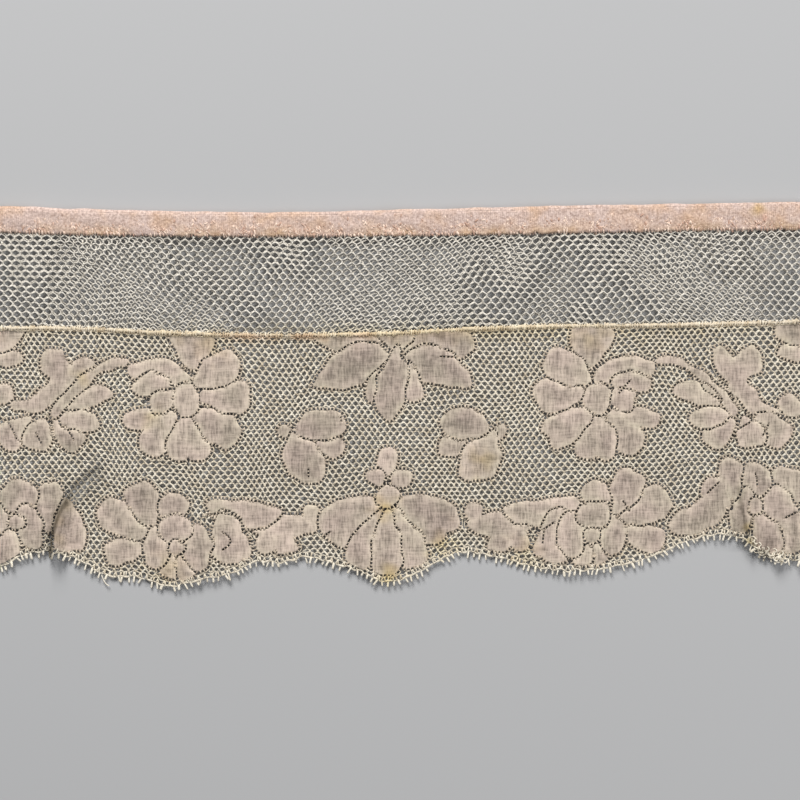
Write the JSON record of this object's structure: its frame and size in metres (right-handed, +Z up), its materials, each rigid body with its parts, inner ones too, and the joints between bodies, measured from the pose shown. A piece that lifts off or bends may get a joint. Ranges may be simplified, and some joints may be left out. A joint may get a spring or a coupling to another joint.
{
  "type": "lace edging",
  "caption": "Cut length of bobbin lace with cloth-stitch flowers and a picot scallop, whipped to doubled net under a folded heading tape.",
  "frame": {"origin": "centre of the edging's bounding box, on the surface it lies on", "axes": "+X along the edging, +Y towards the heading tape, +Z up off the surface"},
  "size_m": [0.164, 0.078, 0.0035],
  "materials": {
    "linen_tape": "matt plain weave",
    "cotton_net": "matt twisted thread",
    "lace_thread": "matt cloth stitch and thread"
  },
  "bodies": {
    "root": {"heading_tape": "linen_tape", "net_strip": "cotton_net", "lace_border": "lace_thread"}
  },
  "joints": []
}
